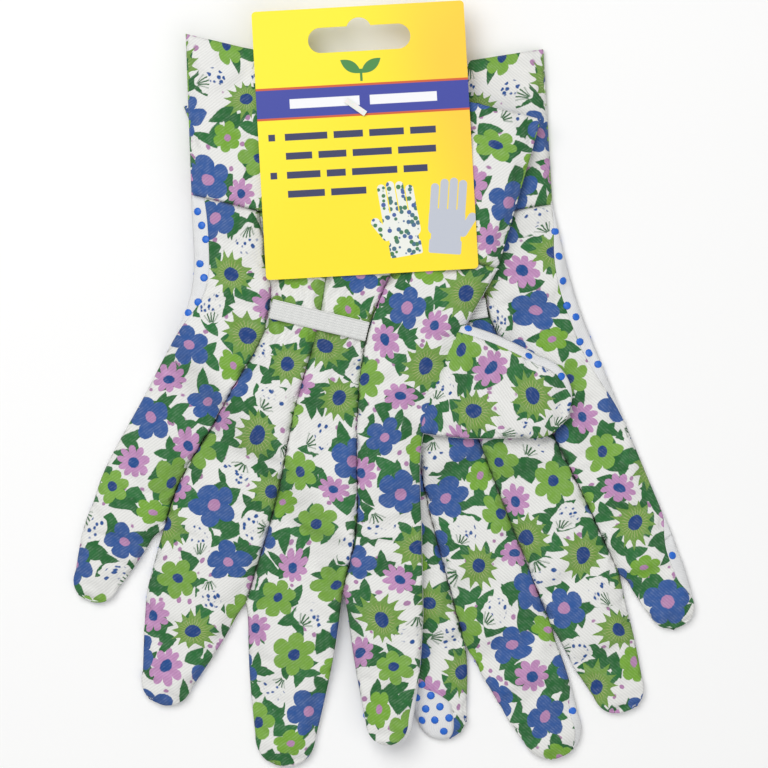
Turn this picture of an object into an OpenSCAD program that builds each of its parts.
// A pair of cotton gardening gloves, lying backs up on a table with the cuffs
// crossed, held to a header card by one plastic tag pin.
// Units are millimetres. +Z is up, fingers point towards -Y, thumbs point inwards.
// The right-hand glove lies on the left-hand glove and drapes down to the table.

/* [Glove] */
// Height of a glove that lies flat, palm sheet and back together
glove_h = 6; // [5.8:0.2:9]
// Thickness of the cotton cloth
cloth_t = 0.8; // [0.5:0.1:0.8]
// Width of the cuff at its open mouth
mouth_w = 131; // [105:1:160]
// Length of the cuff from mouth to wrist seam
cuff_len = 55.6; // [40:0.2:80]
// Length of every finger past its base fold, as a part of the drawn length
finger_scale = 1; // [0.8:0.05:1.2]
// Width of a fingertip, as a part of the drawn width
tip_scale = 1; // [0.8:0.05:1.1]

/* [Wrist elastic] */
// Length of the elastic across the back of the wrist
elastic_len = 35.6; // [25:0.2:45]
// Width of the elastic
elastic_w = 7; // [4:0.5:10]
// Thickness of the elastic
elastic_t = 1; // [0.6:0.1:1.6]
// Distance of the elastic from the wrist seam
elastic_at = 33; // [25:1:45]

/* [Header card] */
// Width of the card
card_w = 76; // [60:1:95]
// Height of the card
card_h = 96; // [80:1:110]
// Thickness of the card
card_t = 0.6; // [0.4:0.1:1]
// Radius of the card's corners
card_r = 1.5; // [0.5:0.5:4]
// Turn of the card on the gloves, in degrees
card_turn = 3.2; // [-8:0.2:8]
// Distance of the pin from the top edge of the card
pin_from_top = 38; // [34:1:44]
// Width of the hang slot
slot_w = 36.6; // [28:0.2:44]
// Height of the hang slot
slot_h = 9; // [7:0.5:12]
// Radius of the notch in the middle of the slot
notch_r = 4.5; // [3:0.5:6]

/* [Tag pin] */
// Diameter of the pin's thread
pin_d = 1; // [0.8:0.1:1.6]
// Clearance around the thread in every layer
pin_clear = 0.3; // [0.2:0.05:0.5]
// Length of the paddle on the card
paddle_len = 8.6; // [6:0.2:12]
// Width of the paddle
paddle_w = 2; // [1.6:0.2:3]
// Thickness of the paddle
paddle_t = 1; // [0.8:0.1:1.4]

/* [Lie of the pair] */
// Turn of the right-hand cuff on the pin, in degrees
right_turn = 13.5; // [10:0.5:16]
// Turn of the left-hand cuff on the pin, in degrees
left_turn = 9; // [6:0.5:12]
// Clearance between the two gloves
stack_gap = 0.4; // [0.3:0.1:1]
// Gap at each fold line between a finger and the hand
fold_gap = 0.4; // [0.3:0.1:0.8]

/* [Hidden] */
$fn = 48;

RIGHT = 1;
LEFT = -1;
mouth = [-7.4, 110.13];
pin_from_mouth = 13;
pin_bore = pin_d + 2 * pin_clear;
stack_h = glove_h + elastic_t + stack_gap;
card_z = stack_h + glove_h + 0.3;
seam_drop = cloth_t + 0.05;
columns = 3;
fill = 3;
tip_steps = 4;
tip_sweep = 72;
tip_recess = 0.4;

// Where each seam line crosses the wrist, the elastic, the middle of the hand and the
// knuckles. u runs towards the thumb and v towards the fingertips, from the wrist seam.
right_seams = [
    [[-50, 0], [-42, 34], [-48, 66], [-57, 100], [-59, 116]],
    [[-25, 0], [-13, 34], [-20, 66], [-30, 100], [-32, 119]],
    [[2, 0], [5, 34], [4, 66], [5, 100], [3, 138]],
    [[28, 0], [23, 34], [27, 66], [35, 100], [36, 126]],
    [[63, 0], [54, 34], [51, 66], [59, 100], [66, 127]]
];
left_seams = [
    [[-60, 0], [-63, 34], [-70, 66], [-78, 100], [-84, 124]],
    [[-34, 0], [-31, 34], [-42, 66], [-53, 100], [-63, 135]],
    [[-6, 0], [-13, 34], [-18, 66], [-25, 100], [-36, 150]],
    [[20, 0], [5, 34], [2, 66], [1, 100], [-4, 150]],
    [[52, 0], [37, 34], [28, 66], [26, 100], [26, 130]]
];

// Each finger: both ends of its fold line, the middle of its tip and the tip's width.
right_fingers = [
    [[-59.5, 122], [-35, 122], [-51, 142], 17],
    [[-32, 142], [1, 142], [-18, 171], 19],
    [[5, 142], [37, 141], [28, 181], 22],
    [[39, 131], [66.5, 131], [63, 167], 17]
];
left_fingers = [
    [[-84.5, 130], [-66, 138], [-79.5, 149], 17],
    [[-63, 146], [-38, 154], [-56, 175], 19],
    [[-36, 154], [-7, 157], [-30, 186], 22],
    [[-4, 154], [23, 154], [8, 175], 18]
];

// Thumbs: both ends of the fold line, the middle of the tip and the tip's width.
right_thumb = [[57.2, 22], [51.2, 64], [85, 42], 30];
left_thumb = [[42.3, 22], [29.1, 62], [55, 37], 22];

function turn(side) = side == RIGHT ? right_turn : left_turn;
function seams(side) = side == RIGHT ? right_seams : left_seams;
function finger(side, i) = side == RIGHT ? right_fingers[i] : left_fingers[i];
function thumb(side) = side == RIGHT ? right_thumb : left_thumb;

// A point of a glove's own pattern, placed on the table.
function place(side, p) = mouth
    + p[0] * [side * cos(turn(side)), -sin(turn(side))]
    + (p[1] + cuff_len) * [-side * sin(turn(side)), -cos(turn(side))];

function clamp01(t) = min(1, max(0, t));
function smooth01(t) = clamp01(t) * clamp01(t) * (3 - 2 * clamp01(t));
function mix(a, b, t) = a + (b - a) * t;

// Height of the right-hand glove's underside: it lies on the left-hand glove to the
// right of a line that runs from the wrist to the index finger, and slopes down to
// the table on the other side.
drape_width = 22;
left_wrist = place(LEFT, [0, 0]);
function drape_edge(y) = left_wrist[0]
    + mix(-81.3, -5.3, smooth01((left_wrist[1] - 7.2 - y) / 126));
function lift(side, q) = side == LEFT ? 0
    : stack_h * smooth01((q[0] - drape_edge(q[1])) / drape_width + 1);

// One station of a strip is [left point, right point, left drop, right drop], where
// a drop is how far the side wall comes down from the top face.
wall_clear = 0.1;
full = glove_h - cloth_t - wall_clear;
function station(a, b, left_drop, right_drop) = [a, b, left_drop, right_drop];

function refined(list, n) = concat(
    [for (i = [0 : len(list) - 2], k = [0 : n - 1]) mix(list[i], list[i + 1], k / n)],
    [list[len(list) - 1]]
);

function hand_stations(side, i) = let (s = seams(side), f = finger(side, i),
    left_drop = i == 0 ? full : seam_drop, right_drop = i == 3 ? full : seam_drop)
    concat(
        [for (k = [0 : 3]) station(s[i][k], s[i + 1][k], left_drop, right_drop)],
        [station(s[i][4], s[i + 1][4], full, full), station(f[0], f[1], full, full)]
    );

// The stations of a finger or thumb, from its fold line to the end of its round tip.
function stall_stations(f) = let (
        base = (f[0] + f[1]) / 2,
        reach = (f[2] - base) * finger_scale,
        along = reach / norm(reach),
        across = (f[1] - f[0]) / norm(f[1] - f[0]),
        tip_across = let (c = [along[1], -along[0]]) c * (c * across > 0 ? 1 : -1),
        tip_r = f[3] / 2 * tip_scale,
        start = along * fold_gap
    ) concat(
        [station(f[0] + start, f[1] + start, full, full)],
        [for (k = [0 : tip_steps])
            let (a = tip_sweep * k / tip_steps, c = base + reach + along * tip_r * sin(a),
                half = tip_across * tip_r * cos(a))
            station(c - half, c + half, full, full)]
    );

// Points across a strip between two ends, at a height above the glove's underside.
function row(side, a, b, z) = [for (k = [0 : columns])
    let (q = place(side, mix(a, b, k / columns))) [q[0], q[1], lift(side, q) + z]];

function reversed(list) = [for (i = [len(list) - 1 : -1 : 0]) list[i]];

// Closed section of a strip with side walls: over the top, down and back inside.
function channel_section(side, st, ceiling) = let (
        inward = (st[1] - st[0]) / norm(st[1] - st[0]) * cloth_t,
        a = st[0], b = st[1], c = st[0] + inward, d = st[1] - inward
    ) concat(
        [row(side, a, b, glove_h - st[2])[0]],
        row(side, a, b, glove_h),
        [row(side, a, b, glove_h - st[3])[columns], row(side, c, d, glove_h - st[3])[columns]],
        reversed(row(side, c, d, ceiling)),
        [row(side, c, d, glove_h - st[2])[0]]
    );

function sheet_section(side, st) =
    concat(row(side, st[0], st[1], cloth_t), reversed(row(side, st[0], st[1], 0)));

// Faces of a tube of equal closed sections, and its two end caps.
function tube_faces(rings, n) = [for (i = [0 : rings - 2], j = [0 : n - 1])
    let (k = (j + 1) % n)
    each [[i * n + j, i * n + k, (i + 1) * n + k], [i * n + j, (i + 1) * n + k, (i + 1) * n + j]]];
function cap_faces(first, pairs) = [for (p = pairs)
    each [[first + p[0], first + p[3], first + p[2]], [first + p[0], first + p[2], first + p[1]]]];
function flipped(faces) = [for (f = faces) [f[0], f[2], f[1]]];

// The four-cornered pieces that an end cap of each kind of section is cut into.
channel_n = 2 * columns + 6;
channel_caps = concat(
    [[0, 1, channel_n - 2, channel_n - 1]],
    [for (k = [1 : columns]) [k, k + 1, channel_n - 2 - k, channel_n - 1 - k]],
    [[columns + 1, columns + 2, columns + 3, columns + 4]]
);
sheet_n = 2 * columns + 2;
sheet_caps = [for (k = [0 : columns - 1]) [k, k + 1, sheet_n - 2 - k, sheet_n - 1 - k]];

module swept(side, sections, n, caps) {
    last = (len(sections) - 1) * n;
    faces = concat(tube_faces(len(sections), n), cap_faces(0, caps),
        flipped(cap_faces(last, caps)));
    polyhedron(points = [for (s = sections) each s], faces = side == RIGHT ? flipped(faces) : faces);
}

// A back panel: a strip of cloth with side walls. A closed end seals a fingertip.
module channel(side, stations, closed_end = false) {
    list = refined(stations, fill);
    end = len(list) - 1;
    swept(side, [for (i = [0 : end])
        channel_section(side, list[i],
            closed_end && i == end ? cloth_t + tip_recess : glove_h - cloth_t)],
        channel_n, channel_caps);
}

module sheet(side, stations) {
    swept(side, [for (st = refined(stations, fill)) sheet_section(side, st)],
        sheet_n, sheet_caps);
}

module strip(side, i) color("honeydew") channel(side, hand_stations(side, i));
module stall(side, f) color("honeydew") channel(side, stall_stations(f), true);
module front(side, f) color("aliceblue") sheet(side, stall_stations(f));
module palm(side) color("aliceblue") union() {
    for (i = [0 : 3]) sheet(side, hand_stations(side, i));
}

// Outline of a cuff, pulled in by a margin at its sides, past its ends by an overshoot.
module cuff_outline(side, margin = 0, overshoot = 0) {
    s = seams(side);
    ends = [[-mouth_w / 2, -cuff_len], [mouth_w / 2, -cuff_len], s[4][0], s[0][0]];
    shift = [[margin, -overshoot], [-margin, -overshoot], [-margin, overshoot], [margin, overshoot]];
    polygon([for (i = [0 : 3]) place(side, ends[i] + shift[i])]);
}

module pin_hole() {
    pin_place() cylinder(d = pin_bore, h = 60, center = true);
}

module pin_place() {
    translate([mouth[0], mouth[1] - pin_from_mouth, 0]) children();
}

module cuff_back(side) color("honeydew") translate([0, 0, side == RIGHT ? stack_h : 0])
    difference() {
        translate([0, 0, cloth_t])
            linear_extrude(glove_h - cloth_t) cuff_outline(side);
        linear_extrude(glove_h - cloth_t) cuff_outline(side, cloth_t, 5);
        pin_hole();
    }

module cuff_palm(side) color("honeydew") translate([0, 0, side == RIGHT ? stack_h : 0])
    difference() {
        linear_extrude(cloth_t) cuff_outline(side);
        if (side == RIGHT) pin_hole();
    }

module elastic(side) {
    s = seams(side);
    middle = (s[1][1] + s[3][1]) / 2;
    q = place(side, [middle[0], elastic_at]);
    color("white") translate([q[0], q[1], lift(side, q) + glove_h]) rotate(-side * turn(side))
        translate([-elastic_len / 2, -elastic_w / 2, 0]) cube([elastic_len, elastic_w, elastic_t]);
}

module card_outline() {
    translate([0, pin_from_top - card_h / 2]) difference() {
        hull() for (x = [-1, 1], y = [-1, 1])
            translate([x * (card_w / 2 - card_r), y * (card_h / 2 - card_r)]) circle(card_r);
        translate([0, card_h / 2 - slot_h - 2.5]) {
            for (x = [-1, 1]) translate([x * (slot_w - slot_h) / 2, 0]) circle(d = slot_h);
            square([slot_w - slot_h, slot_h], center = true);
            translate([0, slot_h / 2 - notch_r / 3]) circle(notch_r);
        }
    }
}

module header_card() color("gold") pin_place() rotate(card_turn) translate([0, 0, card_z])
    difference() {
        linear_extrude(card_t) card_outline();
        cylinder(d = pin_bore, h = 4 * card_t, center = true);
    }

// The thread passes the card, the right-hand cuff and the back of the left-hand cuff.
// Its cross bar lies inside the left-hand cuff and its paddle lies on the card.
module tag_pin() color("white") pin_place() {
    bar_d = 1.4;
    bar_z = glove_h - cloth_t - bar_d / 2 - 0.3;
    top_z = card_z + card_t + 0.2;
    translate([0, 0, bar_z]) cylinder(d = pin_d, h = top_z + paddle_t / 2 - bar_z);
    translate([0, 0, bar_z]) rotate([0, 90, 0]) cylinder(d = bar_d, h = paddle_len, center = true);
    rotate(-35) translate([-paddle_len + paddle_w / 2, -paddle_w / 2, top_z])
        cube([paddle_len, paddle_w, paddle_t]);
}

cuff_back(RIGHT);  // right_cuff_back
cuff_palm(RIGHT);  // right_cuff_palm
palm(RIGHT);  // right_palm
elastic(RIGHT);  // right_elastic
strip(RIGHT, 0);  // right_strip_little
strip(RIGHT, 1);  // right_strip_ring
strip(RIGHT, 2);  // right_strip_middle
strip(RIGHT, 3);  // right_strip_index
stall(RIGHT, finger(RIGHT, 0));  // right_stall_little
stall(RIGHT, finger(RIGHT, 1));  // right_stall_ring
stall(RIGHT, finger(RIGHT, 2));  // right_stall_middle
stall(RIGHT, finger(RIGHT, 3));  // right_stall_index
front(RIGHT, finger(RIGHT, 0));  // right_front_little
front(RIGHT, finger(RIGHT, 1));  // right_front_ring
front(RIGHT, finger(RIGHT, 2));  // right_front_middle
front(RIGHT, finger(RIGHT, 3));  // right_front_index
stall(RIGHT, thumb(RIGHT));  // right_thumb_back
front(RIGHT, thumb(RIGHT));  // right_thumb_front
cuff_back(LEFT);  // left_cuff_back
cuff_palm(LEFT);  // left_cuff_palm
palm(LEFT);  // left_palm
elastic(LEFT);  // left_elastic
strip(LEFT, 0);  // left_strip_little
strip(LEFT, 1);  // left_strip_ring
strip(LEFT, 2);  // left_strip_middle
strip(LEFT, 3);  // left_strip_index
stall(LEFT, finger(LEFT, 0));  // left_stall_little
stall(LEFT, finger(LEFT, 1));  // left_stall_ring
stall(LEFT, finger(LEFT, 2));  // left_stall_middle
stall(LEFT, finger(LEFT, 3));  // left_stall_index
front(LEFT, finger(LEFT, 0));  // left_front_little
front(LEFT, finger(LEFT, 1));  // left_front_ring
front(LEFT, finger(LEFT, 2));  // left_front_middle
front(LEFT, finger(LEFT, 3));  // left_front_index
stall(LEFT, thumb(LEFT));  // left_thumb_back
front(LEFT, thumb(LEFT));  // left_thumb_front
header_card();
tag_pin();
